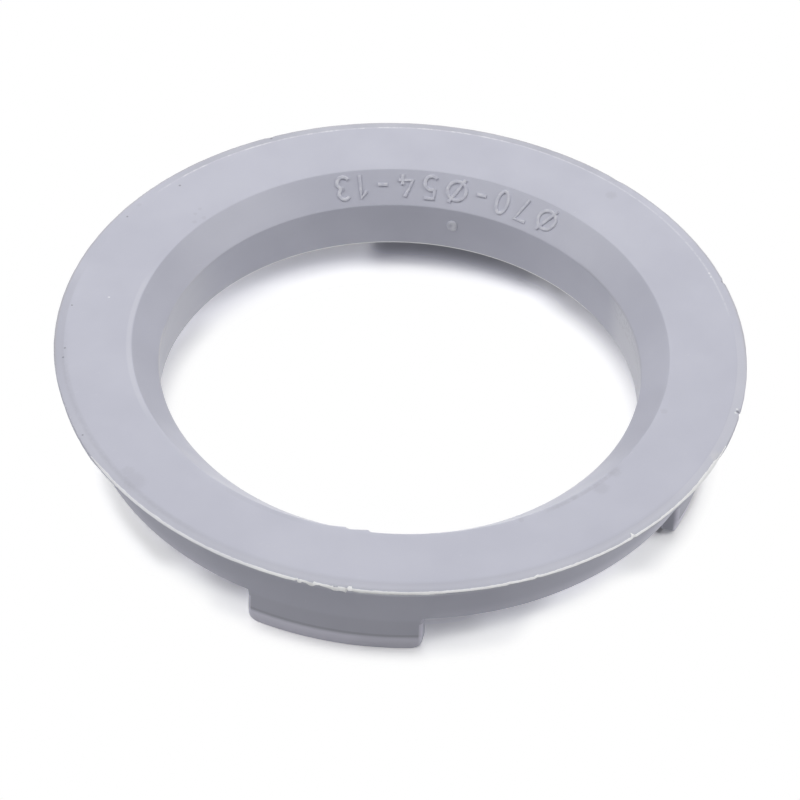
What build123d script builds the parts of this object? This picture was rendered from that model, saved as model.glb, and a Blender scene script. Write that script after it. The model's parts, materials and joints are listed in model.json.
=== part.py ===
from build123d import *
import os

# Hub centric ring, moulded in one piece: it fills the gap between a wheel's centre bore and a smaller hub.
# Millimetres, +Z up. The origin is on the bore's axis, level with the feet: the ring stands on its tabs,
# with the flange and the cone on top, and the gaps between the tabs lie on the X and Y axes.

# The two fits: the hub goes into the bore, and the body goes into the wheel
bore_diameter = 54.1
body_diameter = 70.4

# Heights: over the whole ring, and from the top face down to the flat underside
overall_height = 13.0
body_height = 8.75

# Flange: a thin rim, bevelled on top, over a conical seat for the chamfer of the wheel's bore
flange_overhang = 3.65
rim_height = 0.5
rim_bevel_width = 1.2
rim_bevel_drop = 0.25
seat_height = 3.65

# Cone that leads the hub into the bore
cone_width = 3.1
cone_height = 2.85

# Edges of the turned section: the cone's mouth, the bore's foot and the lead-in round the body
mouth_edge_radius = 0.25
bore_edge_radius = 0.3
body_lead_in = 0.8

# Tabs that stand under the body, flush with its wall and drawn in towards the foot
tab_count = 4
first_tab_azimuth = 45.0
tab_width = 19.4
tab_thickness = 1.8
tab_lead_in_height = 2.4
tab_lead_in_depth = 0.5
tab_corner_radius = 1.3
tab_outer_edge_radius = 0.4
tab_inner_edge_radius = 0.2

# Radii that follow from those sizes
bore_radius = bore_diameter / 2
mouth_radius = bore_radius + cone_width
body_radius = body_diameter / 2
flange_radius = body_radius + flange_overhang
bevel_radius = flange_radius - rim_bevel_width
tab_inner_radius = body_radius - tab_thickness
foot_radius = body_radius - tab_lead_in_depth

# Levels above the feet
cone_foot = overall_height - cone_height
underside = overall_height - body_height
rim_top = overall_height - rim_bevel_drop
rim_foot = rim_top - rim_height
seat_foot = rim_foot - seat_height

# The tabs start halfway up the body's straight wall, so that they fill its lead-in where they stand
tab_root = (underside + body_lead_in + seat_foot) / 2

# One tab: a slice of a turned wall, with rounded lower corners and softened edges round its free end
with BuildPart() as tab:
    with BuildSketch(Plane.XZ):
        with BuildLine():
            Polyline(
                (tab_inner_radius, 0),
                (foot_radius, 0),
                (body_radius, tab_lead_in_height),
                (body_radius, tab_root),
                (tab_inner_radius, tab_root),
                close=True,
            )
        make_face()
    revolve(axis=Axis.Z)
    with BuildSketch(Plane.YZ) as tab_front:
        Rectangle(tab_width, tab_root, align=(Align.CENTER, Align.MIN))
        fillet(tab_front.vertices().group_by(Axis.Y)[0], radius=tab_corner_radius)
    extrude(amount=flange_radius, mode=Mode.INTERSECT)

    ends = tab.faces().filter_by(Plane.XZ)
    outer_edges = [edge for end in ends for edge in end.edges().sort_by(Axis.X)[-2:]]
    fillet(outer_edges, radius=tab_outer_edge_radius)

    ends = tab.faces().filter_by(Plane.XZ)
    inner_edges = [end.edges().sort_by(Axis.X)[0] for end in ends]
    fillet(inner_edges, radius=tab_inner_edge_radius)

# The ring: its section is turned about the bore's axis, and the tabs join it from below
with BuildPart() as hub_ring:
    with BuildSketch(Plane.XZ):
        with BuildLine():
            Polyline(
                (bore_radius, underside),
                (bore_radius, cone_foot),
                (mouth_radius, overall_height),
                (bevel_radius, overall_height),
                (flange_radius, rim_top),
                (flange_radius, rim_foot),
                (body_radius, seat_foot),
                (body_radius, underside),
                close=True,
            )
        make_face()
    revolve(axis=Axis.Z)

    top_face = hub_ring.faces().sort_by(Axis.Z)[-1]
    fillet(top_face.edges().sort_by(SortBy.RADIUS)[0], radius=mouth_edge_radius)

    underside_face = hub_ring.faces().sort_by(Axis.Z)[0]
    fillet(underside_face.edges().sort_by(SortBy.RADIUS)[0], radius=bore_edge_radius)

    underside_face = hub_ring.faces().sort_by(Axis.Z)[0]
    chamfer(underside_face.edges().sort_by(SortBy.RADIUS)[-1], length=body_lead_in)

    with PolarLocations(0, tab_count, start_angle=first_tab_azimuth):
        add(tab.part)

hub_ring.part.label = "hub_ring"

os.makedirs("parts", exist_ok=True)
export_step(hub_ring.part, "parts/hub_ring.step")
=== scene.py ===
# Looks of the hub centric ring: a ring moulded in light lavender grey plastic, on a white studio floor.
import json
import math
from collections import namedtuple

import bmesh
import bpy
from mathutils import Matrix, Vector, noise


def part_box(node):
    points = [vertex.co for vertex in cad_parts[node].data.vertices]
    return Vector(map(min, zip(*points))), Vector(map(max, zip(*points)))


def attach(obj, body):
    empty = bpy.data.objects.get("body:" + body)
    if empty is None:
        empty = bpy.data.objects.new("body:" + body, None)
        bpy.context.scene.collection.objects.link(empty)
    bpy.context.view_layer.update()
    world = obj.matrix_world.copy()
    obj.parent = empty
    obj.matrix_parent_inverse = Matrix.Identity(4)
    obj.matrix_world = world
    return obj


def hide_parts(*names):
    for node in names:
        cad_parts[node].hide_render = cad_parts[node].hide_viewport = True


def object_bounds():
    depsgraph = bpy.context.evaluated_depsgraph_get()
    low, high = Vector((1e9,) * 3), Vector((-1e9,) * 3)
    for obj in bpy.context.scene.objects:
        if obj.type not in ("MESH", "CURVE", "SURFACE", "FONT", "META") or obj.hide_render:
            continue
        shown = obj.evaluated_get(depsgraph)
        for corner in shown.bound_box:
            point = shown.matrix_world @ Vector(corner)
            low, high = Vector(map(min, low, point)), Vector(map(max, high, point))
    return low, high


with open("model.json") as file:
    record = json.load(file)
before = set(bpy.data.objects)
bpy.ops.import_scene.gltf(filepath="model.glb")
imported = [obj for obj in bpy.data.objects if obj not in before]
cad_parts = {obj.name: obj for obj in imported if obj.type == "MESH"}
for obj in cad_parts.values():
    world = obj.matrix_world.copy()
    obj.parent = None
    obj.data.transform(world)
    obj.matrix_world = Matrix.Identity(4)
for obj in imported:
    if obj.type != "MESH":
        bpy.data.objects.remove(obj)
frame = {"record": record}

MM = 0.001

# The solid's own box, before anything is added
cad_low, cad_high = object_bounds()

# Sizes that the frame gives, in metres
mounts = {mount["name"]: mount for mount in frame["record"]["mounts"]}
hub_bore = mounts["hub_bore"]
bore_radius = hub_bore["dims"]["r_mm"] * MM
bore_top = hub_bore["pos_m"][2] + hub_bore["dims"]["length_mm"] * MM / 2
body_radius = mounts["wheel_seat"]["dims"]["r_mm"] * MM
ring_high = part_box("hub_ring")[1]
rim_radius = ring_high.x
top_level = ring_high.z

# Sizes of the section that the frame doesn't name
cone_width = 3.1 * MM
bevel_width = 1.2 * MM
bevel_drop = 0.25 * MM
rim_height = 0.5 * MM
body_height = 8.75 * MM
body_lead_in = 0.8 * MM
mouth_radius = bore_radius + cone_width
bevel_radius = rim_radius - bevel_width
rim_top = top_level - bevel_drop
rim_foot = rim_top - rim_height
seat_foot = rim_foot - (rim_radius - body_radius)
underside = top_level - body_height
wall_foot = underside + body_lead_in

# Tabs under the body
tab_count = 4
tab_pitch = math.tau / tab_count
first_tab = tab_pitch / 2
tab_half_width = 9.7 * MM
tab_thickness = 1.8 * MM
tab_inner_radius = body_radius - tab_thickness
tab_lead_in_height = 2.4 * MM
tab_lead_in_depth = 0.5 * MM
tab_corner_radius = 1.3 * MM
tab_outer_rounding = 0.4 * MM
tab_inner_rounding = 0.2 * MM

# Where the photograph was taken from: azimuth and elevation round the middle of the top face
camera_azimuth = math.radians(-125.0)
camera_elevation = math.radians(42.56)
camera_distance = 560.31 * MM
camera_roll = math.radians(2.54)
camera_near = 10 * MM
camera_far = 10.0
focal_pixels = 5000.0
picture_pixels = 800.0
sensor_width = 36.0
aim_right_pixels = -0.95
aim_down_pixels = 55.56


# Small helpers for points and meshes

weld_distance = 0.0005 * MM
shortest_edge = 0.0001 * MM


def on_ring(azimuth, radius, level):
    """Point at an azimuth, a radius from the bore's axis and a height."""
    return Vector((radius * math.cos(azimuth), radius * math.sin(azimuth), level))


def bevel_level(radius):
    """Height of the top face and its bevel at a radius."""
    past = max(0.0, radius - bevel_radius)
    return top_level - past * bevel_drop / bevel_width


def ragged(azimuth, scale, seed):
    """Smooth noise along the rim, from about -1 to 1; scale is its number of waves per radian."""
    return noise.noise(Vector((azimuth * scale, seed, 0.5)))


def near(azimuth, centre, width):
    """Bump of height 1 at an azimuth, which fades to 0 at that width on each side."""
    away = abs((azimuth - centre + math.pi) % math.tau - math.pi)
    return max(0.0, 1.0 - away / width)


def quads_between(rings, size, closed=False):
    """Quads that join each ring of points to the next one, and the last to the first where they close."""
    faces = []
    for ring in range(rings if closed else rings - 1):
        here = ring * size
        there = (ring + 1) % rings * size
        for side in range(size):
            beside = (side + 1) % size
            faces.append((here + side, here + beside, there + beside, there + side))
    return faces


def tube_faces(rings, size):
    """Faces of a tube through rings of points, with a cap at each end."""
    first_cap = tuple(range(size))
    last_cap = tuple(range((rings - 1) * size, rings * size))
    return quads_between(rings, size) + [first_cap, last_cap]


def add_mesh(name, points, faces, material, sharp_angle):
    """A closed, smooth shaded piece that rides on the ring's body; bends past an angle stay sharp."""
    mesh = bpy.data.meshes.new(name)
    mesh.from_pydata(points, [], faces)
    shape = bmesh.new()
    shape.from_mesh(mesh)
    bmesh.ops.remove_doubles(shape, verts=shape.verts, dist=weld_distance)
    bmesh.ops.dissolve_degenerate(shape, edges=shape.edges, dist=shortest_edge)
    bmesh.ops.recalc_face_normals(shape, faces=shape.faces)
    shape.to_mesh(mesh)
    shape.free()
    mesh.shade_smooth()
    mesh.set_sharp_from_angle(angle=math.radians(sharp_angle))
    mesh.materials.append(material)
    piece = bpy.data.objects.new(name, mesh)
    bpy.context.scene.collection.objects.link(piece)
    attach(piece, "root")
    return piece


# Wear along the rim and the mouth

# Nicks and worn places: azimuth in degrees, half width and depth in millimetres
rim_nicks = [
    (228.2, 0.10, 0.14),
    (220.1, 0.12, 0.10),
    (254.2, 0.30, 0.05),
    (258.9, 0.35, 0.08),
    (277.2, 0.35, 0.10),
    (312.5, 0.40, 0.30),
    (345.0, 0.50, 0.16),
    (80.0, 0.60, 0.14),
    (16.5, 1.40, 0.10),
    (163.0, 9.00, 0.16),
]
# Cuts along the mouth's front edge: start and end azimuths in degrees, and the step in millimetres
mouth_cuts = [
    (220.4, 225.1, 0.31),
    (225.2, 230.2, 0.33),
]
# Torn lip of white plastic: azimuth in degrees, width on the bevel and reach down the rim in millimetres
lip_places = [
    (176.0, 0.04, 0.00),
    (180.0, 0.26, 0.02),
    (205.0, 0.25, 0.05),
    (207.0, 0.26, 0.10),
    (211.0, 0.22, 0.06),
    (215.0, 0.22, 0.12),
    (218.3, 0.22, 0.16),
    (219.6, 0.18, 0.14),
    (220.0, 0.16, 0.03),
    (220.3, 0.16, 0.28),
    (220.7, 0.26, 0.26),
    (221.0, 0.16, 0.04),
    (221.6, 0.16, 0.10),
    (222.2, 0.16, 0.34),
    (222.7, 0.14, 0.38),
    (222.8, 0.40, 0.30),
    (223.2, 0.20, 0.10),
    (223.8, 0.16, 0.04),
    (225.0, 0.18, 0.15),
    (225.7, 0.18, 0.28),
    (226.1, 0.26, 0.44),
    (226.6, 0.26, 0.42),
    (227.0, 0.20, 0.32),
    (227.6, 0.26, 0.36),
    (228.1, 0.16, 0.50),
    (228.25, 0.06, 0.16),
    (228.45, 0.62, 0.14),
    (228.8, 0.62, 0.14),
    (229.0, 0.16, 0.14),
    (230.2, 0.17, 0.28),
    (231.5, 0.16, 0.25),
    (236.0, 0.16, 0.21),
    (243.0, 0.17, 0.19),
    (244.0, 0.17, 0.08),
    (249.0, 0.17, 0.08),
    (253.8, 0.17, 0.10),
    (254.1, 0.16, 0.05),
    (258.4, 0.17, 0.09),
    (258.8, 0.18, 0.05),
    (265.0, 0.17, 0.08),
    (276.9, 0.18, 0.06),
    (277.2, 0.52, 0.05),
    (277.5, 0.17, 0.06),
    (289.0, 0.18, 0.08),
    (292.0, 0.26, 0.20),
    (299.6, 0.34, 0.22),
    (300.5, 0.12, 0.06),
    (304.0, 0.05, 0.00),
]
lip_start = math.radians(lip_places[0][0])
lip_end = math.radians(lip_places[-1][0])
lip_fade = math.radians(3)
lip_bed = 0.11 * MM
rim_roughness = 0.02 * MM


def rim_nick(azimuth):
    """Depth of the nicks in the rim."""
    depth = 0.0
    for degrees, half_width, nick_depth in rim_nicks:
        depth += nick_depth * MM * near(azimuth, math.radians(degrees), half_width * MM / rim_radius)
    return depth


def lip_cover(azimuth):
    """1 along the torn lip, fading to 0 at its two ends."""
    turned = azimuth % math.tau
    share = min(turned - lip_start, lip_end - turned) / lip_fade
    return min(1.0, max(0.0, share))


def rim_wear(azimuth):
    """How far the rim is worn back: everywhere a little, more under the lip and at its nicks."""
    depth = rim_roughness * (1 + ragged(azimuth, 40, 1.0))
    return depth + lip_bed * lip_cover(azimuth) + rim_nick(azimuth)


def mouth_trim(azimuth):
    """How far the mouth's edge stands in: it was trimmed in short cuts, each ending in a small step."""
    degrees = math.degrees(azimuth % math.tau)
    for start, end, height in mouth_cuts:
        if start <= degrees <= end:
            return height * MM * (degrees - start) / (end - start)
    return 0.0


# Ring: a section swept round the axis in columns, with the tabs' own section between their ends

# A column's place is its offset across a tab, or else its share of the way along a gap
Column = namedtuple("Column", "tab_azimuth on_tab place")
# A corner has its cut in millimetres, the steps of its curve and the divisions of the flat after it
Corner = namedtuple("Corner", "azimuth radius level cut steps divisions")
gap_steps = 145
tab_step = 0.3 * MM
tab_end_steps = 9
ring_sharp_angle = 38

# Cut of the rim's upper edge, in millimetres, and how much more of it is gone under the lip
rim_edge_cut = 0.10
lip_edge_cut = 0.25

# The bore's upper edge lies a little lower along the front
low_edge_drop = 0.22 * MM
low_edge_middle = math.radians(233)
low_edge_width = math.radians(50)


def tab_places():
    """Offsets of the columns across a tab, closer together where its lower corners are rounded."""
    ends = []
    for step in range(tab_end_steps):
        turn = step / tab_end_steps * math.pi / 2
        ends.append(tab_half_width - tab_corner_radius * (1 - math.cos(turn)))
    straight = tab_half_width - tab_corner_radius
    count = round(2 * straight / tab_step)
    middle = [-straight + 2 * straight * step / count for step in range(count + 1)]
    return [-place for place in ends] + middle + ends[::-1]


def ring_columns():
    """Columns round the ring: across each tab, then along the gap that follows it."""
    columns = []
    for index in range(tab_count):
        centre = first_tab + index * tab_pitch
        columns += [Column(centre, True, place) for place in tab_places()]
        columns += [Column(centre, False, step / gap_steps) for step in range(gap_steps + 1)]
    return columns


def column_azimuth(column, radius):
    """Azimuth of a column at a radius: the tabs' ends are parallel, so they open out as the radius falls."""
    if column.on_tab:
        return column.tab_azimuth + math.asin(column.place / radius)
    half_tab = math.asin(tab_half_width / radius)
    return column.tab_azimuth + half_tab + column.place * (tab_pitch - 2 * half_tab)


def edge_drop(rounding, distance):
    """How far a rounded edge has fallen away, at a distance from the face that it turns into."""
    short = max(0.0, rounding - distance)
    return rounding - math.sqrt(rounding ** 2 - short ** 2)


def upper_section(azimuth):
    """Corners from the mouth out along the top face, down the rim and in to the wall."""
    mouth = mouth_radius - mouth_trim(azimuth)
    rim = rim_radius - rim_wear(azimuth)
    rim_cut = rim_edge_cut + lip_edge_cut * lip_cover(azimuth)
    return [
        (mouth, top_level, 0.12, 4, 9),
        (bevel_radius, top_level, 0.16, 3, 3),
        (rim, rim_top, rim_cut, 4, 1),
        (rim, rim_foot, 0.08, 2, 4),
        (body_radius, seat_foot, 0.20, 3, 3),
    ]


def tab_section(column):
    """Corners from the wall's foot down a tab and up its back."""
    end_distance = tab_half_width - abs(column.place)
    foot = edge_drop(tab_corner_radius, end_distance)
    wall = body_radius - edge_drop(tab_outer_rounding, end_distance)
    back = tab_inner_radius + edge_drop(tab_inner_rounding, end_distance)
    foot_radius = wall - tab_lead_in_depth * (1 - foot / tab_lead_in_height)
    return [
        (body_radius, wall_foot, 0.10, 2, 1),
        (wall, underside, 0.05, 1, 2),
        (wall, tab_lead_in_height, 0.12, 2, 2),
        (foot_radius, foot, 0.07, 3, 2),
        (back, foot, 0.14, 3, 3),
        (back, underside, 0.16, 2, 4),
    ]


def gap_section():
    """Corners down the body's lead-in and along the underside, as many as a tab has."""
    third = body_lead_in / 3
    chamfer_foot = body_radius - body_lead_in
    between = (chamfer_foot + tab_inner_radius) / 2
    return [
        (body_radius, wall_foot, 0.10, 2, 1),
        (body_radius - third, wall_foot - third, 0.05, 1, 2),
        (body_radius - 2 * third, wall_foot - 2 * third, 0.05, 2, 2),
        (chamfer_foot, underside, 0.10, 3, 2),
        (between, underside, 0.10, 3, 3),
        (tab_inner_radius, underside, 0.10, 2, 4),
    ]


def bore_section(azimuth):
    """Corners up the bore, to where the cone begins."""
    low_share = min(1.0, 2 * near(azimuth, low_edge_middle, low_edge_width))
    return [
        (bore_radius, underside, 0.30, 4, 6),
        (bore_radius, bore_top - low_edge_drop * low_share, 0.12, 3, 6),
    ]


def section_corners(column):
    """All corners of one column's section; those of a tab or a gap follow the tabs' parallel ends."""
    azimuth = column_azimuth(column, body_radius)
    skirt = tab_section(column) if column.on_tab else gap_section()
    corners = [Corner(azimuth, *corner) for corner in upper_section(azimuth)]
    corners += [Corner(column_azimuth(column, corner[0]), *corner) for corner in skirt]
    corners += [Corner(azimuth, *corner) for corner in bore_section(azimuth)]
    return corners


def mix(first, second, share):
    """Place a share of the way between two places, number by number."""
    return tuple(a + (b - a) * share for a, b in zip(first, second))


def toward(corner, other):
    """Place on the way from one corner to another, the first one's cut away from it."""
    start = (corner.radius, corner.level, corner.azimuth)
    end = (other.radius, other.level, other.azimuth)
    length = math.hypot(end[0] - start[0], end[1] - start[1])
    return mix(start, end, corner.cut * MM / length)


def section_points(corners):
    """Points round a section: a short curve at each corner, and even steps along each flat."""
    points = []
    for index, corner in enumerate(corners):
        following = corners[(index + 1) % len(corners)]
        start = toward(corner, corners[index - 1])
        tip = (corner.radius, corner.level, corner.azimuth)
        end = toward(corner, following)
        for step in range(corner.steps + 1):
            share = step / corner.steps
            points.append(mix(mix(start, tip, share), mix(tip, end, share), share))
        next_start = toward(following, corner)
        for division in range(1, corner.divisions):
            points.append(mix(end, next_start, division / corner.divisions))
    return [on_ring(azimuth, radius, level) for radius, level, azimuth in points]


def add_ring(material):
    """The ring itself, which stands for the solid."""
    columns = [section_points(section_corners(column)) for column in ring_columns()]
    points = [point for column in columns for point in column]
    faces = quads_between(len(columns), len(columns[0]), closed=True)
    ring = add_mesh("ring_body", points, faces, material, ring_sharp_angle)
    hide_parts("hub_ring")


# Lip: the torn edge of white plastic along the front of the rim

# Sizes of the lip: it stays inside the ring's box by the inset, and its top sinks by a share of its reach
lip_step = math.radians(0.08)
lip_inset = 0.01 * MM
lip_overlap = 0.04 * MM
lip_crown = 0.24 * MM
lip_lift = 0.03 * MM
lip_sink = 0.3
lip_sharp_angle = 50


def lip_shape(azimuth):
    """Width of the lip on the bevel and its reach down the rim: straight between places, a little ragged."""
    degrees = math.degrees(azimuth % math.tau)
    for before, after in zip(lip_places, lip_places[1:]):
        if before[0] <= degrees <= after[0]:
            share = (degrees - before[0]) / (after[0] - before[0])
            _, width, reach = mix(before, after, share)
            width *= 1 + 0.25 * ragged(azimuth, 30, 2.0) + 0.20 * ragged(azimuth, 110, 3.0)
            reach += 0.03 * (ragged(azimuth, 35, 4.0) + 0.6 * ragged(azimuth, 150, 5.0))
            return width * MM, max(0.0, reach) * MM
    return 0.0, 0.0


def lip_section(azimuth):
    """Closed section of the lip: from the bevel over the rim's edge, down a slope and back into the ring."""
    width, reach = lip_shape(azimuth)
    outer = rim_radius - lip_inset - rim_nick(azimuth)
    inner = outer - width - lip_overlap
    crown = max(inner + 0.05 * MM, outer - lip_crown)
    middle = (inner + crown) / 2
    foot = rim_top - reach
    sink = lip_sink * reach
    lift = lip_lift * (1 + 0.8 * ragged(azimuth, 90, 6.0))
    points = [
        (inner, bevel_level(inner) - sink - 0.06 * MM),
        (inner + 0.03 * MM, bevel_level(inner) - sink + 0.4 * lip_lift),
        (middle, bevel_level(middle) - sink + lift),
        (crown, bevel_level(crown) - sink + lift),
        ((crown + outer) / 2 + 0.02 * MM, (bevel_level(crown) - sink + foot) / 2 + 0.01 * MM),
        (outer, foot - 0.05 * MM),
        (outer - 0.02 * MM, foot - 0.09 * MM),
        (min(inner, outer - 0.20 * MM), foot - 0.12 * MM),
    ]
    widest = rim_radius - lip_inset
    highest = top_level - lip_inset
    return [(min(radius, widest), min(level, highest)) for radius, level in points]


def add_lip(material):
    """The torn lip as one closed ribbon."""
    count = round((lip_end - lip_start) / lip_step)
    points = []
    for station in range(count + 1):
        azimuth = lip_start + (lip_end - lip_start) * station / count
        points += [on_ring(azimuth, radius, level) for radius, level in lip_section(azimuth)]
    faces = tube_faces(count + 1, len(lip_section(lip_start)))
    add_mesh("rim_flash", points, faces, material, lip_sharp_angle)


# Raised numbers on the cone: the ring's outside, bore and height in whole millimetres

number_text = "Ø70-Ø54-13"
number_height = 2.62 * MM
number_gap = 0.51
number_middle = math.radians(45)
number_baseline = 0.60 * MM
number_sharp_angle = 50
stroke_half_width = 0.22 * MM
stroke_height = 0.20 * MM
stroke_root = 0.05 * MM
# Half of a ridge's section: share of the half width, and height off the cone
stroke_profile = [
    (1.0, -stroke_root),
    (1.0, 0.02 * MM),
    (0.82, 0.85 * stroke_height),
    (0.55, stroke_height),
]


def curve(centre_x, centre_y, radius_x, radius_y, start, end, steps=16):
    """Points along an elliptic arc, in a sign's own box, with angles in degrees."""
    points = []
    for step in range(steps + 1):
        angle = math.radians(start + (end - start) * step / steps)
        points.append((centre_x + radius_x * math.cos(angle), centre_y + radius_y * math.sin(angle)))
    return points


# Width of each sign, and its strokes in a box one unit high
signs = {
    "0": (0.54, [curve(0.27, 0.5, 0.25, 0.5, 0, 360, 28)]),
    "1": (0.30, [[(0.02, 0.70), (0.28, 1.0), (0.28, 0.0)]]),
    "3": (0.52, [curve(0.24, 0.76, 0.24, 0.24, 150, -90), curve(0.24, 0.26, 0.26, 0.26, 90, -150)]),
    "4": (0.62, [[(0.34, 1.0), (0.02, 0.26), (0.62, 0.26)], [(0.46, 0.46), (0.46, 0.0)]]),
    "5": (0.54, [[(0.50, 1.0), (0.08, 1.0), (0.06, 0.56)], curve(0.24, 0.31, 0.28, 0.31, 125, -140)]),
    "7": (0.54, [[(0.0, 1.0), (0.54, 1.0), (0.18, 0.0)]]),
    "Ø": (0.84, [curve(0.42, 0.5, 0.42, 0.42, 0, 360, 32), [(0.12, -0.06), (0.72, 1.06)]]),
    "-": (0.42, [[(0.0, 0.46), (0.42, 0.46)]]),
}
cone_slant = math.hypot(mouth_radius - bore_radius, top_level - bore_top)
cone_fall = (top_level - bore_top) / cone_slant
cone_run = (mouth_radius - bore_radius) / cone_slant
number_middle_radius = mouth_radius - (number_baseline + number_height / 2) * cone_run


def cone_point(along, up, height):
    """Point on the cone: along the line of numbers, up towards the bore, and off the surface."""
    azimuth = number_middle + along / number_middle_radius
    down_slope = number_baseline + up
    radius = mouth_radius - down_slope * cone_run - height * cone_fall
    return on_ring(azimuth, radius, top_level - down_slope * cone_fall + height * cone_run)


def stroke_ring(middle, direction):
    """Points round one section of a ridge: a low rounded top and a root under the surface."""
    left = [(share * stroke_half_width, height) for share, height in stroke_profile]
    right = [(-across, height) for across, height in reversed(left)]
    points = []
    for across, height in left + right:
        along = middle[0] - direction[1] * across
        up = middle[1] + direction[0] * across
        points.append(cone_point(along, up, height))
    return points


def unit(first, second):
    """Direction from one flat point to another."""
    length = math.hypot(second[0] - first[0], second[1] - first[1])
    return ((second[0] - first[0]) / length, (second[1] - first[1]) / length)


def stroke_mesh(path):
    """Points and faces of one ridge along a path on the cone, with mitred bends."""
    start_way = unit(path[0], path[1])
    end_way = unit(path[-2], path[-1])
    points = []
    for index, place in enumerate(path):
        before = unit(path[index - 1], place) if index else start_way
        after = unit(place, path[index + 1]) if index + 1 < len(path) else end_way
        way = unit((0, 0), (before[0] + after[0], before[1] + after[1]))
        points += stroke_ring(place, way)
    return points, tube_faces(len(path), len(points) // len(path))


def add_numbers(material):
    """All the raised signs as one piece."""
    widths = [signs[sign][0] for sign in number_text]
    along = -(sum(widths) + number_gap * (len(widths) - 1)) / 2
    points = []
    faces = []
    for sign in number_text:
        width, strokes = signs[sign]
        for stroke in strokes:
            path = [((along + x) * number_height, y * number_height) for x, y in stroke]
            new_points, new_faces = stroke_mesh(path)
            faces += [tuple(len(points) + corner for corner in face) for face in new_faces]
            points += new_points
        along += width + number_gap
    add_mesh("size_numbers", points, faces, material, number_sharp_angle)


# Gate mark: the torn stub where the plastic was fed in, on the wall of the bore

gate_azimuth = math.radians(43.6)
gate_level = 7.75 * MM
gate_radius = 0.66 * MM
gate_height = 0.14 * MM
gate_stretch = 1.2
gate_raggedness = 0.16
gate_sides = 28
gate_middle_height = 0.4
gate_sharp_angle = 60
# Rings of the mark from its root to its middle: shares of its radius and of its height
gate_profile = [(1.0, -0.6), (1.0, 0.25), (0.88, 0.8), (0.6, 1.0), (0.3, 0.7)]


def add_gate_mark(material):
    """A low, rough dome on the bore's wall."""
    points = []
    for share, height in gate_profile:
        for side in range(gate_sides):
            turn = math.tau * side / gate_sides
            bump = noise.noise(Vector((math.cos(turn) * 2, math.sin(turn) * 2, share * 5)))
            rough = 1 + gate_raggedness * bump
            across = gate_radius * share * rough * math.cos(turn)
            up = gate_radius * share * rough * gate_stretch * math.sin(turn)
            radius = bore_radius - gate_height * height * rough
            points.append(on_ring(gate_azimuth + across / bore_radius, radius, gate_level + up))
    middle = len(points)
    points.append(on_ring(gate_azimuth, bore_radius - gate_middle_height * gate_height, gate_level))
    faces = quads_between(len(gate_profile), gate_sides)
    last = middle - gate_sides
    faces += [(last + side, last + (side + 1) % gate_sides, middle) for side in range(gate_sides)]
    faces.append(tuple(range(gate_sides)))
    add_mesh("gate_mark", points, faces, material, gate_sharp_angle)


# Materials

plastic_colour = (0.527, 0.533, 0.612, 1.0)
plastic_shade = (0.497, 0.503, 0.582, 1.0)
# The scraped and torn colours also serve as painted highlights, the rubbed colour as painted light, and the
# dull and dirt colours also as painted shade
scraped_and_highlight_colour = (0.86, 0.86, 0.88, 1.0)
torn_and_highlight_colour = (0.94, 0.94, 0.95, 1.0)
painted_light_colour = (0.78, 0.77, 0.88, 1.0)
drag_colour = (0.72, 0.71, 0.70, 1.0)
edge_colour = (0.42, 0.41, 0.42, 1.0)
dirt_and_shade_colour = (0.10, 0.10, 0.13, 1.0)
dull_and_shade_colour = (0.36, 0.36, 0.41, 1.0)
plastic_ior = 1.5
plastic_specular = 0.3
bump_depth = 0.02 * MM


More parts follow.
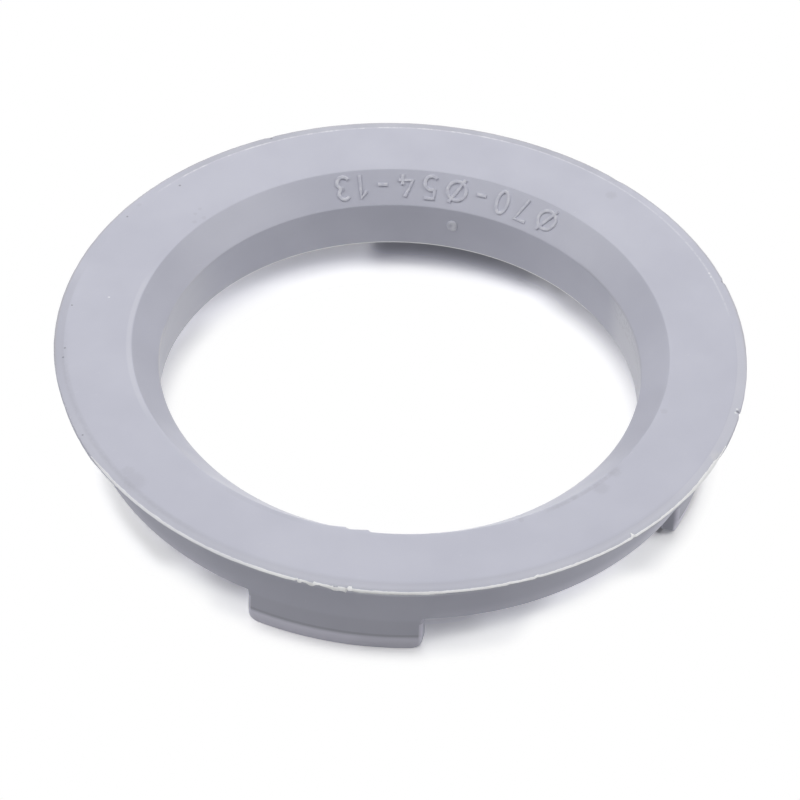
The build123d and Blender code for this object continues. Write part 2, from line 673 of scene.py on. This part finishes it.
class Nodes:
    """Nodes of one material: inputs are plain values or sockets, and paint adds to the colour so far."""

    def __init__(self, name):
        self.material = bpy.data.materials.new(name)
        self.material.use_nodes = True
        self.tree = self.material.node_tree
        self.tree.nodes.clear()
        self.colour = None

        # The surface point in the ring's frame, with its radius, azimuth and height
        self.position = self.add("TexCoord", {}, output=3)
        x, y, self.level = self.axes(self.position)
        flat = self.add("CombineXYZ", {0: x, 1: y})
        self.radius = self.add("VectorMath", {0: flat}, output=1, operation="LENGTH")
        self.azimuth = self.math("ARCTAN2", y, x)

    def add(self, kind, inputs, output=0, **settings):
        """Output socket of a new node."""
        made = self.tree.nodes.new("ShaderNode" + kind)
        for name, value in settings.items():
            setattr(made, name, value)
        for name, value in inputs.items():
            if isinstance(value, bpy.types.NodeSocket):
                self.tree.links.new(value, made.inputs[name])
            else:
                made.inputs[name].default_value = value
        return made.outputs[output]

    def axes(self, position):
        """The three coordinates of a position."""
        split = self.tree.nodes.new("ShaderNodeSeparateXYZ")
        self.tree.links.new(position, split.inputs[0])
        return list(split.outputs)

    def math(self, operation, *values):
        """Result of one operation on numbers."""
        return self.add("Math", dict(enumerate(values)), operation=operation)

    def both(self, first, second):
        """Mask where two masks are."""
        return self.math("MULTIPLY", first, second)

    def ramp(self, value, low, high, to_low=0.0, to_high=1.0):
        """Smooth step from one value to another."""
        inputs = {"Value": value, "From Min": low, "From Max": high, "To Min": to_low, "To Max": to_high}
        return self.add("MapRange", inputs, interpolation_type="SMOOTHSTEP")

    def band(self, value, middle, half_width, fade):
        """1 within a band of values, fading to 0 outside it."""
        away = self.math("ABSOLUTE", self.math("SUBTRACT", value, middle))
        return self.ramp(away, half_width, half_width + fade, 1.0, 0.0)

    def arc(self, start, end, fade):
        """1 between two azimuths in degrees, fading to 0 outside them."""
        middle = math.radians((start + end) / 2)
        half = math.radians((end - start) / 2)
        turned = self.math("COSINE", self.math("SUBTRACT", self.azimuth, middle))
        return self.ramp(turned, math.cos(half + math.radians(fade)), math.cos(half))

    def noise(self, size, detail=2.0, roughness=0.5):
        """Noise from 0 to 1, with features of about that size."""
        inputs = {"Vector": self.position, "Scale": 1 / size, "Detail": detail, "Roughness": roughness}
        return self.add("TexNoise", inputs)

    def blend(self, share, first, second):
        """Colour between two colours."""
        return self.add("Mix", {0: share, 6: first, 7: second}, output=2, data_type="RGBA")

    def paint(self, paint, strength, *masks):
        """Puts some paint over the colour so far, where all the masks allow it."""
        share = strength
        for mask in masks:
            share = self.both(share, mask)
        self.colour = self.blend(share, self.colour, paint)

    def end_in(self, shader):
        """Ends the material in a shader."""
        end = self.tree.nodes.new("ShaderNodeOutputMaterial")
        self.tree.links.new(shader, end.inputs["Surface"])
        return self.material

    def plastic(self, roughness, bump_height, bump_strength):
        """Ends the material in a plastic surface of the colour so far."""
        bump_inputs = {"Strength": bump_strength, "Distance": bump_depth, "Height": bump_height}
        surface = {
            "Base Color": self.colour,
            "Roughness": roughness,
            "IOR": plastic_ior,
            "Specular IOR Level": plastic_specular,
            "Normal": self.add("Bump", bump_inputs),
        }
        return self.end_in(self.add("BsdfPrincipled", surface))


# Specks of dirt, and painted shade in small pits and in the rim's nicks: azimuth in degrees, radius and half
# size in millimetres
dirt_and_pit_shade_specks = [
    (101.0, 36.7, 0.15),
    (113.5, 37.6, 0.14),
    (171.0, 38.3, 0.12),
    (312.5, 38.50, 0.20),
    (345.0, 38.65, 0.20),
    (80.0, 38.45, 0.18),
    (149.6, 37.57, 0.14),
    (151.9, 37.82, 0.14),
    (138.7, 37.45, 0.12),
]
# Small white scrapes, in the same order
white_specks = [
    (347.4, 37.62, 0.14),
    (346.4, 37.57, 0.14),
    (135.2, 33.66, 0.14),
    (312.1, 38.35, 0.16),
    (313.0, 38.40, 0.16),
]
# Pale marks where the rim is torn, in the same order
pale_marks = [
    (300.9, 38.55, 0.95),
]
# Dull smudges, in the same order
smudges = [
    (102.9, 32.1, 0.32),
    (104.7, 31.9, 0.28),
    (104.3, 30.7, 0.34),
    (106.7, 31.0, 0.36),
    (109.7, 37.8, 0.40),
    (185.0, 37.0, 1.6),
    (182.5, 36.6, 0.9),
    (281.0, 31.2, 1.1),
    (286.5, 30.6, 0.9),
    (14.0, 36.0, 0.8),
    (16.5, 38.6, 0.7),
    (308.0, 30.8, 0.5),
    (262.0, 30.5, 0.4),
    (275.0, 30.35, 0.5),
]
# Shape of a mark's outline: size of its wobble, and shares of the half size for its reach and its two edges
wobble_size = 0.25 * MM
wobble_reach = 0.9
mark_inner_edge = 0.55
mark_outer_edge = 0.6


def spots(nodes, marks, soften):
    """Mask of round marks on the top face, with ragged outlines."""
    wobble = nodes.noise(wobble_size, 3.0)
    total = 0.0
    for azimuth, radius, size in marks:
        centre = on_ring(math.radians(azimuth), radius * MM, bevel_level(radius * MM))
        away = nodes.add("VectorMath", {0: nodes.position, 1: centre}, output=1, operation="DISTANCE")
        grown = nodes.math("MULTIPLY_ADD", wobble, -wobble_reach * size * MM, away)
        inner_edge = size * (mark_inner_edge - soften) * MM
        outer_edge = size * mark_outer_edge * MM
        total = nodes.math("MAXIMUM", total, nodes.ramp(grown, inner_edge, outer_edge, 1.0, 0.0))
    return total


# Wear, painted light and painted shade on the ring's surfaces: the front is at azimuth 235, the right at 325,
# the back at 55, the left at 145

def bevel_wear_and_light(nodes, tears, dashes):
    """The rim's bevel: painted shade at the back and left, painted light at the front, darker by the rim, and
    a scraped edge line with painted highlight and shade.
    """
    on_top = nodes.ramp(nodes.level, rim_top - 0.1 * MM, rim_top)
    on_bevel = nodes.both(on_top, nodes.ramp(nodes.radius, bevel_radius, bevel_radius + 0.15 * MM))
    # Painted shade on the bevel at the back and the left, and painted light at the front and the right
    nodes.paint(dull_and_shade_colour, 0.54, on_bevel, nodes.arc(30, 86, 22))
    nodes.paint(dull_and_shade_colour, 0.24, on_bevel, nodes.arc(138, 152, 10))
    nodes.paint(scraped_and_highlight_colour, 0.08, on_bevel, nodes.arc(172, 322, 16))
    nodes.paint(scraped_and_highlight_colour, 0.07, on_bevel, nodes.arc(265, 325, 12))

    at_edge = nodes.ramp(nodes.radius, rim_radius - 0.35 * MM, rim_radius - 0.15 * MM)
    nodes.paint(edge_colour, 0.40, at_edge, on_top, nodes.arc(-30, 150, 8))

    # Along the bevel's edge: a pale line at the back and the right, partly scraped and partly painted
    # highlight, and painted shade at the left and the front
    fine_line = nodes.both(on_top, nodes.band(nodes.radius, bevel_radius, 0.05 * MM, 0.12 * MM))
    wide_line = nodes.both(on_top, nodes.band(nodes.radius, bevel_radius, 0.14 * MM, 0.34 * MM))
    torn = nodes.ramp(tears, 0.25, 0.6)
    broken = nodes.ramp(dashes, 0.42, 0.58, 0.25, 1.0)
    mottled = nodes.ramp(tears, 0.3, 0.6, 0.35, 1.0)
    nodes.paint(scraped_and_highlight_colour, 0.55, fine_line, torn, broken, nodes.arc(42, 96, 12))
    nodes.paint(scraped_and_highlight_colour, 0.26, fine_line, torn, nodes.arc(-18, 30, 8))
    nodes.paint(dull_and_shade_colour, 0.26, wide_line, mottled, nodes.arc(158, 190, 16))
    nodes.paint(dull_and_shade_colour, 0.12, wide_line, nodes.arc(196, 285, 8))


def bore_wear_and_light(nodes, tears, dashes):
    """The bore: painted light on the wall at both sides, wall and upper edge rubbed and streaked there, and a
    painted highlight along the foot at the back.
    """
    by_bore = nodes.ramp(nodes.radius, bore_radius + 0.9 * MM, bore_radius + 0.5 * MM)
    on_wall = nodes.both(by_bore, nodes.ramp(nodes.level, bore_top + 0.1 * MM, bore_top))
    upper_edge = nodes.band(nodes.level, bore_top, 0.07 * MM, 0.10 * MM)

    # At the left
    # Painted light on the wall at the left
    nodes.paint(scraped_and_highlight_colour, 0.26, on_wall, nodes.arc(126, 148, 22))
    left_wall = nodes.both(on_wall, nodes.arc(136, 145, 9))
    rough = nodes.both(left_wall, nodes.band(nodes.level, bore_top - 0.5 * MM, 0.4 * MM, 0.9 * MM))
    rough = nodes.both(rough, nodes.ramp(dashes, 0.40, 0.60))
    nodes.paint(drag_colour, 0.55, rough, nodes.ramp(tears, 0.46, 0.66))
    nodes.paint(dull_and_shade_colour, 0.40, rough, nodes.ramp(tears, 0.50, 0.34))
    nodes.paint(drag_colour, 0.38, by_bore, upper_edge, nodes.arc(142, 152, 8))

    # At the right
    right_wall = nodes.both(on_wall, nodes.arc(-46, -14, 10))
    # Painted light on the wall at the right
    nodes.paint(scraped_and_highlight_colour, 0.36, right_wall)
    nodes.paint(scraped_and_highlight_colour, 0.35, on_wall, upper_edge, nodes.arc(-56, -40, 5))
    nodes.paint(dull_and_shade_colour, 0.34, by_bore, upper_edge, nodes.arc(-36, 4, 6))
    flecks = nodes.both(right_wall, nodes.band(nodes.level, bore_top - 1.2 * MM, 0.8 * MM, 0.6 * MM))
    nodes.paint(dull_and_shade_colour, 0.20, flecks, nodes.ramp(tears, 0.52, 0.42))

    # At the front, and a painted highlight along the foot at the back
    front_edge = nodes.band(nodes.level, bore_top - 0.05 * MM, 0.16 * MM, 0.14 * MM)
    nodes.paint(dull_and_shade_colour, 0.36, by_bore, front_edge, nodes.arc(180, 206, 8))
    foot_edge = nodes.band(nodes.level, underside + 0.14 * MM, 0.08 * MM, 0.08 * MM)
    nodes.paint(torn_and_highlight_colour, 1.0, by_bore, foot_edge, nodes.arc(8, 108, 12))


def cone_mask(nodes):
    """1 on the cone between the mouth and the bore."""
    inside = nodes.ramp(nodes.radius, mouth_radius + 0.05 * MM, mouth_radius - 0.10 * MM)
    above = nodes.ramp(nodes.level, bore_top - 0.1 * MM, bore_top + 0.1 * MM)
    return nodes.both(inside, above)


def cone_wear_and_light(nodes, on_cone, tears):
    """The cone: painted shade in places, with a painted highlight by the mouth at the left and dirty lines in
    front.
    """
    # Painted shade on the cone at the back, the front right and the left
    nodes.paint(dull_and_shade_colour, 0.08, on_cone, nodes.arc(60, 120, 20))
    nodes.paint(dull_and_shade_colour, 0.18, on_cone, nodes.arc(296, 312, 6))
    nodes.paint(dull_and_shade_colour, 0.17, on_cone, nodes.arc(152, 168, 10))
    by_mouth = nodes.band(nodes.radius, mouth_radius + 0.36 * MM, 0.14 * MM, 0.22 * MM)
    mottled = nodes.ramp(tears, 0.3, 0.6, 0.5, 1.0)
    # Painted highlight by the mouth at the left
    nodes.paint(scraped_and_highlight_colour, 0.12, by_mouth, nodes.arc(132, 166, 8))
    nodes.paint(dull_and_shade_colour, 0.14, by_mouth, mottled, nodes.arc(201, 213, 5))
    nodes.paint(dull_and_shade_colour, 0.34, by_mouth, mottled, nodes.arc(271, 285, 5))


def tab_light_and_shade(nodes):
    """Painted light on the lead-ins and low walls, painted highlights on the tabs' rounded end edges, and
    painted shade in the crease and on the tab faces.
    """
    taper = tab_lead_in_depth / tab_lead_in_height
    depth = nodes.math("MULTIPLY_ADD", nodes.level, -taper, tab_lead_in_depth)
    face = nodes.math("ADD", nodes.radius, nodes.math("MAXIMUM", depth, 0.0))
    on_face = nodes.ramp(face, body_radius - 0.22 * MM, body_radius - 0.10 * MM)
    band_top = tab_lead_in_height - 0.10 * MM
    on_band = nodes.both(on_face, nodes.ramp(nodes.level, band_top, band_top - 0.65 * MM))
    # Painted light on the lead-in band, and painted shade at the right end of the front tab's band
    nodes.paint(painted_light_colour, 0.95, on_band)
    nodes.paint(dull_and_shade_colour, 0.18, on_band, nodes.arc(233, 241, 6))
    # Painted shade in the crease above the band
    crease = nodes.band(nodes.level, tab_lead_in_height, 0.10 * MM, 0.16 * MM)
    nodes.paint(dull_and_shade_colour, 0.58, crease, on_face)

    # Distance from the middle plane of the nearest tab: the tabs stand halfway between the axes
    x, y = (nodes.math("ABSOLUTE", axis) for axis in nodes.axes(nodes.position)[:2])
    apart = nodes.math("ABSOLUTE", nodes.math("SUBTRACT", x, y))
    lateral = nodes.math("MULTIPLY", apart, math.sqrt(0.5))

    # Painted highlights on the tabs' rounded outer and inner end edges
    below = nodes.ramp(nodes.level, underside, underside - 0.15 * MM)
    outer_edge = nodes.band(lateral, tab_half_width - 0.18 * MM, 0.12 * MM, 0.12 * MM)
    outer_side = nodes.ramp(nodes.radius, body_radius - 0.55 * MM, body_radius - 0.35 * MM)
    nodes.paint(painted_light_colour, 0.8, below, outer_edge, outer_side)
    inner_edge = nodes.ramp(lateral, tab_half_width - 0.22 * MM, tab_half_width - 0.12 * MM)
    inner_side = nodes.ramp(nodes.radius, tab_inner_radius + 0.30 * MM, tab_inner_radius + 0.18 * MM)
    nodes.paint(painted_light_colour, 0.6, below, inner_edge, inner_side)

    # Painted shade on the tab faces
    tab_face = nodes.both(on_face, nodes.ramp(lateral, tab_half_width, tab_half_width - 0.4 * MM))
    nodes.paint(dull_and_shade_colour, 0.20, tab_face, nodes.band(nodes.level, 3.5 * MM, 0.9 * MM, 0.6 * MM))

    # Painted light low on the body's wall between the tabs and on its lead-in chamfer
    between_tabs = nodes.ramp(lateral, tab_half_width + 0.5 * MM, tab_half_width + 3 * MM)
    low_wall = nodes.both(on_face, nodes.ramp(nodes.level, underside + 2.4 * MM, underside + 0.5 * MM))
    low_gap_wall = nodes.both(low_wall, between_tabs)
    nodes.paint(painted_light_colour, 0.25, low_gap_wall)
    nodes.paint(painted_light_colour, 0.35, low_gap_wall, nodes.arc(274, 300, 16))
    half_lead_in = body_lead_in / 2
    chamfer = nodes.band(nodes.level, underside + half_lead_in, half_lead_in - 0.1 * MM, 0.1 * MM)
    slope = nodes.band(nodes.radius, body_radius - half_lead_in, half_lead_in - 0.08 * MM, 0.06 * MM)
    nodes.paint(painted_light_colour, 0.3, chamfer, slope)


# Fine rubs on the top face: waves per metre along each axis
rub_waves = (900.0, 5200.0, 900.0)
# The cone came from a smoother part of the mould than the rest
cone_roughness_change = -0.25
cone_grain_share = 0.15


def ring_plastic():
    """Moulded plastic of the ring, with its scraped edges, specks and smudges, and painted light and shade on
    its edges, creases and faces.
    """
    nodes = Nodes("ring_plastic_wear_and_painted_light")
    tears = nodes.noise(0.45 * MM, 4.0, 0.6)
    dashes = nodes.noise(1.6 * MM, 3.0)
    cloud = nodes.noise(9 * MM, 3.0)
    nodes.colour = nodes.blend(nodes.ramp(cloud, 0.3, 0.7), plastic_shade, plastic_colour)

    rub_space = nodes.add("VectorMath", {0: nodes.position, 1: rub_waves}, operation="MULTIPLY")
    rubs = nodes.add("TexNoise", {"Vector": rub_space, "Scale": 1.0, "Detail": 1.0})
    nodes.paint(scraped_and_highlight_colour, 0.10, nodes.ramp(rubs, 0.70, 0.76), nodes.ramp(dashes, 0.5, 0.65))

    on_cone = cone_mask(nodes)
    bevel_wear_and_light(nodes, tears, dashes)
    bore_wear_and_light(nodes, tears, dashes)
    cone_wear_and_light(nodes, on_cone, tears)
    tab_light_and_shade(nodes)
    nodes.paint(dull_and_shade_colour, 0.22, spots(nodes, smudges, 0.5))
    nodes.paint(drag_colour, 0.28, spots(nodes, pale_marks, 0.5))
    nodes.paint(scraped_and_highlight_colour, 0.6, spots(nodes, white_specks, 0.2))
    # Dark specks: dirt, and painted shade in pits and nicks
    nodes.paint(dirt_and_shade_colour, 0.5, spots(nodes, dirt_and_pit_shade_specks, 0.2))

    roughness = nodes.ramp(nodes.noise(3 * MM, 3.0), 0.3, 0.7, 0.55, 0.65)
    roughness = nodes.math("MULTIPLY_ADD", on_cone, cone_roughness_change, roughness)
    grain = nodes.noise(0.16 * MM, 2.0)
    grain = nodes.both(grain, nodes.ramp(on_cone, 0.0, 1.0, 1.0, cone_grain_share))
    return nodes.plastic(roughness, grain, 0.25)


def lip_plastic():
    """Whitened, torn plastic of the lip, whitest at the front and the right."""
    nodes = Nodes("torn_plastic")
    tears = nodes.noise(0.9 * MM, 3.0)
    whiteness = nodes.ramp(nodes.arc(219, 320, 12), 0.0, 1.0, 0.65, 1.0)
    share = nodes.both(whiteness, nodes.ramp(tears, 0.2, 0.5, 0.85, 1.0))
    nodes.colour = nodes.blend(share, plastic_colour, torn_and_highlight_colour)
    return nodes.plastic(nodes.ramp(tears, 0.2, 0.8, 0.5, 0.65), tears, 0.3)


def raised_plastic():
    """Plastic of the raised numbers and the gate mark, rubbed a little."""
    nodes = Nodes("raised_plastic")
    cloud = nodes.noise(0.6 * MM, 3.0)
    nodes.colour = nodes.blend(nodes.ramp(cloud, 0.35, 0.7, 0.0, 0.35), plastic_colour, scraped_and_highlight_colour)
    return nodes.plastic(nodes.ramp(cloud, 0.2, 0.8, 0.36, 0.48), cloud, 0.15)


# Studio: floor, world, lamps and camera

white_colour = (1, 1, 1, 1)
floor_radius = 700 * MM
floor_sides = 96
floor_bounce = 0.25
floor_glow = 0.39
floor_glow_lost = 0.35
floor_lit = (1.70, 1.70, 1.67, 1)
floor_lit_inside = (1.66, 1.66, 1.73, 1)
floor_dark = (0.0, 0.0, 0.0, 1)

# Radii between which the shadow ends, outside and inside, and between which its tint changes
outer_shadow = (34.0 * MM, 37.2 * MM)
inner_shadow = (29.8 * MM, 24.8 * MM)
tint_change = (30 * MM, 34 * MM)
# Band under the ring where the floor glows less: middle radius, half width and fade
dim_band = (32 * MM, 3 * MM, 4 * MM)

# Darker shadow in the far half of the ring: strength, its inner and outer fades, and its arc with a fade
far_strength = 0.38
far_inner_fade = (26.5 * MM, 31.5 * MM)
far_outer_fade = (36 * MM, 34 * MM)
far_arc = (-55, 140, 12)
# Darker places there and in the near half: strength, radii in millimetres from faint to full, and the arc
far_shadows = [
    (0.40, 28.5, 31.5, (20, 58, 6)),
    (0.34, 25.5, 28.0, (-50, 12, 12)),
]
near_shadows = [
    (0.22, 34.2, 31.2, (189, 200, 6)),
    (0.34, 33.8, 30.2, (199, 264, 8)),
    (0.18, 34.2, 32.0, (240, 249, 6)),
    (0.18, 36.6, 34.6, (213, 239, 3)),
    (0.12, 35.4, 33.0, (290, 297, 5)),
]
# Dark bands: strength, middle radius, half width and fade in millimetres, and the arc
shadow_bands = [
    (0.22, 27.5, 0.6, 1.2, (116, 145, 10)),
    (0.22, 32.5, 1.0, 1.9, (165, 184, 8)),
    (0.55, 32.8, 0.4, 0.5, (298.6, 300.4, 1.0)),
    (0.22, 35.6, 0.8, 0.8, (301, 317, 6)),
]
# Where the shadow's outer edge is drawn in, by how many millimetres, or pushed out
shadow_shifts = [
    (1.2, (192, 197, 6)),
    (2.4, (266, 280, 10)),
    (-0.4, (212, 240, 4)),
]

lamp_distance = 620 * MM
# Lamps: name, azimuth from the camera's and elevation in degrees, power in watts, size in millimetres
lamps = [
    ("left_lamp", -90, 45, 0.80, 320),
    ("left_front_lamp", -45, 45, 0.60, 320),
    ("left_high_lamp", -90, 70, 1.28, 320),
    ("right_lamp", 90, 45, 1.18, 320),
    ("right_front_lamp", 45, 30, 0.22, 320),
    ("right_low_lamp", 90, 20, 0.47, 320),
    ("back_lamp", 180, 20, 1.62, 320),
]
world_strength = 0.02


def seen_directly(tree):
    """1 for rays from the camera, from glossy surfaces and through clear ones."""
    rays = tree.nodes.new("ShaderNodeLightPath").outputs
    seen = rays["Is Camera Ray"]
    for name in ("Is Glossy Ray", "Is Transmission Ray"):
        either = tree.nodes.new("ShaderNodeMath")
        either.operation = "MAXIMUM"
        tree.links.new(seen, either.inputs[0])
        tree.links.new(rays[name], either.inputs[1])
        seen = either.outputs[0]
    return seen


def paint_shadow(nodes):
    """Colour of the floor in the ring's shadow."""
    radius = nodes.radius
    nodes.colour = nodes.blend(nodes.ramp(radius, *tint_change), floor_lit_inside, floor_lit)
    far_half = nodes.both(nodes.arc(*far_arc), nodes.ramp(radius, *far_outer_fade))
    nodes.paint(floor_dark, far_strength, nodes.ramp(radius, *far_inner_fade), far_half)
    for strength, faint, full, arc in far_shadows:
        across = nodes.ramp(radius, faint * MM, full * MM)
        nodes.paint(floor_dark, strength, across, far_half, nodes.arc(*arc))
    for strength, faint, full, arc in near_shadows:
        across = nodes.ramp(radius, faint * MM, full * MM)
        nodes.paint(floor_dark, strength, across, nodes.arc(*arc))
    for strength, middle, half_width, fade, arc in shadow_bands:
        across = nodes.band(radius, middle * MM, half_width * MM, fade * MM)
        nodes.paint(floor_dark, strength, across, nodes.arc(*arc))


def floor_material():
    """White floor: it throws light back up, and the camera sees it white outside the ring's shadow."""
    nodes = Nodes("studio_floor")
    diffuse = nodes.add("BsdfDiffuse", {"Color": (floor_bounce, floor_bounce, floor_bounce, 1)})
    lost = nodes.math("MULTIPLY", nodes.band(nodes.radius, *dim_band), floor_glow_lost)
    glow_strength = nodes.math("MULTIPLY", nodes.math("SUBTRACT", 1.0, lost), floor_glow)
    glow = nodes.add("Emission", {"Color": white_colour, "Strength": glow_strength})
    bounce = nodes.add("AddShader", {0: diffuse, 1: glow})

    paint_shadow(nodes)
    lit = nodes.add("BsdfDiffuse", {"Color": nodes.colour})
    white = nodes.add("Emission", {"Color": white_colour, "Strength": 1.0})
    outer = nodes.radius
    for shift, arc in shadow_shifts:
        outer = nodes.math("MULTIPLY_ADD", nodes.arc(*arc), shift * MM, outer)
    clear = nodes.math("MAXIMUM", nodes.ramp(outer, *outer_shadow), nodes.ramp(nodes.radius, *inner_shadow))
    seen = nodes.add("MixShader", {0: clear, 1: lit, 2: white})
    return nodes.end_in(nodes.add("MixShader", {0: seen_directly(nodes.tree), 1: bounce, 2: seen}))


def add_floor():
    """A round floor under the tabs' feet."""
    shape = bmesh.new()
    bmesh.ops.create_circle(shape, cap_ends=True, segments=floor_sides, radius=floor_radius)
    mesh = bpy.data.meshes.new("floor")
    shape.to_mesh(mesh)
    shape.free()
    mesh.materials.append(floor_material())
    floor = bpy.data.objects.new("floor", mesh)
    floor.location.z = cad_low.z
    bpy.context.scene.collection.objects.link(floor)


def add_world():
    """Dim fill from all round, which the camera and reflections see as white."""
    world = bpy.data.worlds.new("studio")
    world.use_nodes = True
    tree = world.node_tree
    tree.nodes.clear()
    fill = tree.nodes.new("ShaderNodeBackground")
    fill.inputs["Strength"].default_value = world_strength
    white = tree.nodes.new("ShaderNodeBackground")
    white.inputs["Color"].default_value = white_colour
    white.inputs["Strength"].default_value = 1.0
    mixed = tree.nodes.new("ShaderNodeMixShader")
    end = tree.nodes.new("ShaderNodeOutputWorld")
    tree.links.new(seen_directly(tree), mixed.inputs[0])
    tree.links.new(fill.outputs[0], mixed.inputs[1])
    tree.links.new(white.outputs[0], mixed.inputs[2])
    tree.links.new(mixed.outputs[0], end.inputs["Surface"])
    bpy.context.scene.world = world


def add_lamp(name, azimuth, elevation, power, size):
    """A square soft lamp, aimed at the ring."""
    lamp = bpy.data.lights.new(name, "AREA")
    lamp.energy = power
    lamp.size = size
    holder = bpy.data.objects.new(name, lamp)
    way = on_ring(azimuth, math.cos(elevation), math.sin(elevation))
    holder.location = way * lamp_distance
    holder.rotation_mode = "QUATERNION"
    holder.rotation_quaternion = way.to_track_quat("Z", "Y")
    bpy.context.scene.collection.objects.link(holder)


def add_camera():
    """The photograph's camera, aimed so that its picture needs no shift."""
    back = on_ring(camera_azimuth, math.cos(camera_elevation), math.sin(camera_elevation))
    forward = -back
    level_right = Vector((-math.sin(camera_azimuth), math.cos(camera_azimuth), 0))
    level_up = level_right.cross(forward)
    right = level_right * math.cos(camera_roll) + level_up * math.sin(camera_roll)
    up = level_up * math.cos(camera_roll) - level_right * math.sin(camera_roll)
    aim = forward + right * (aim_right_pixels / focal_pixels) - up * (aim_down_pixels / focal_pixels)
    aim.normalize()
    right = (right - aim * right.dot(aim)).normalized()
    up = right.cross(aim)
    lens = bpy.data.cameras.new("photo_camera")
    lens.sensor_width = sensor_width
    lens.lens = focal_pixels / picture_pixels * sensor_width
    lens.clip_start = camera_near
    lens.clip_end = camera_far
    camera = bpy.data.objects.new("photo_camera", lens)
    turn = Matrix((right, up, -aim)).transposed().to_4x4()
    turn.translation = Vector((0, 0, top_level)) + back * camera_distance
    camera.matrix_world = turn
    bpy.context.scene.collection.objects.link(camera)
    bpy.context.scene.camera = camera


lip_material = lip_plastic()
raised_material = raised_plastic()
add_ring(ring_plastic())
add_lip(lip_material)
add_numbers(raised_material)
add_gate_mark(raised_material)
add_floor()
add_world()
for name, turn, elevation, power, size in lamps:
    add_lamp(name, camera_azimuth + math.radians(turn), math.radians(elevation), power, size * MM)
add_camera()
bpy.context.scene.view_settings.view_transform = "Standard"
